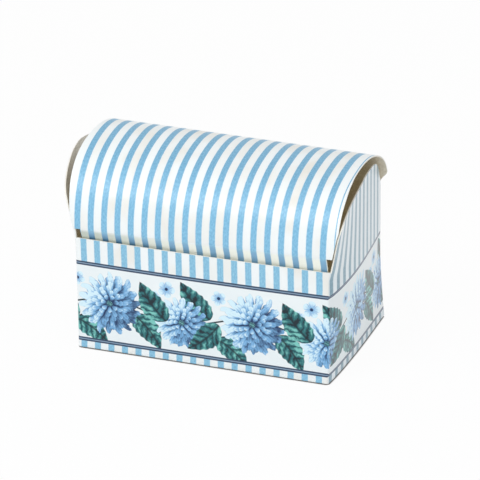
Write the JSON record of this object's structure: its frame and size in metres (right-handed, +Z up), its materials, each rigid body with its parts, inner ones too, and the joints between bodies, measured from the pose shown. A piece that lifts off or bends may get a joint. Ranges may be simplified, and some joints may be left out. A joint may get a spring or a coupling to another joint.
{
  "type": "folded card chest box",
  "caption": "Small treasure-chest gift box folded from one sheet of printed card, with a domed lid that hinges at the back and tucks in behind the front wall.",
  "frame": {"origin": "centre of the base, on the surface the box stands on", "axes": "+X along the box's length towards the right-hand wall as seen from the front, +Y from the front wall to the hinge, +Z up"},
  "size_m": [0.1069, 0.058, 0.0705],
  "materials": {
    "printed_board": "satin printed face in pale blue and white, plain uncoated inner face",
    "printed_lid_board": "satin printed face with sky-blue and white stripes, plain uncoated inner face",
    "plain_board": "matt uncoated board"
  },
  "bodies": {
    "box": {"front_wall": "printed_board", "back_wall": "printed_board", "right_side_wall": "printed_board", "left_side_wall": "printed_board", "glue_flap": "plain_board", "bottom_front_flap": "plain_board", "bottom_rear_flap": "plain_board", "bottom_left_flap": "plain_board", "bottom_right_flap": "plain_board", "corner_fold_front_left": "printed_board", "corner_fold_front_right": "printed_board", "corner_fold_rear_left": "printed_board", "corner_fold_rear_right": "printed_board", "base_fold_front": "printed_board", "base_fold_back": "printed_board", "base_fold_left": "printed_board", "base_fold_right": "printed_board", "lid_hinge_fold": "printed_board"},
    "lid": {"lid_dome": "printed_lid_board", "lid_front_fold": "printed_lid_board"},
    "tuck": {"tuck_flap": "printed_lid_board"}
  },
  "joints": [
    {"name": "lid_hinge", "type": "hinge", "parent": "box", "child": "lid", "pos_m": [0, 0.02803, 0.051], "axis": [-1, 0, 0], "range_deg": [0, 110]},
    {"name": "tuck_crease", "type": "hinge", "parent": "lid", "child": "tuck", "pos_m": [0, -0.02855, 0.04635], "axis": [0.9998, 0, 0.0174], "range_deg": [0, 60]}
  ]
}
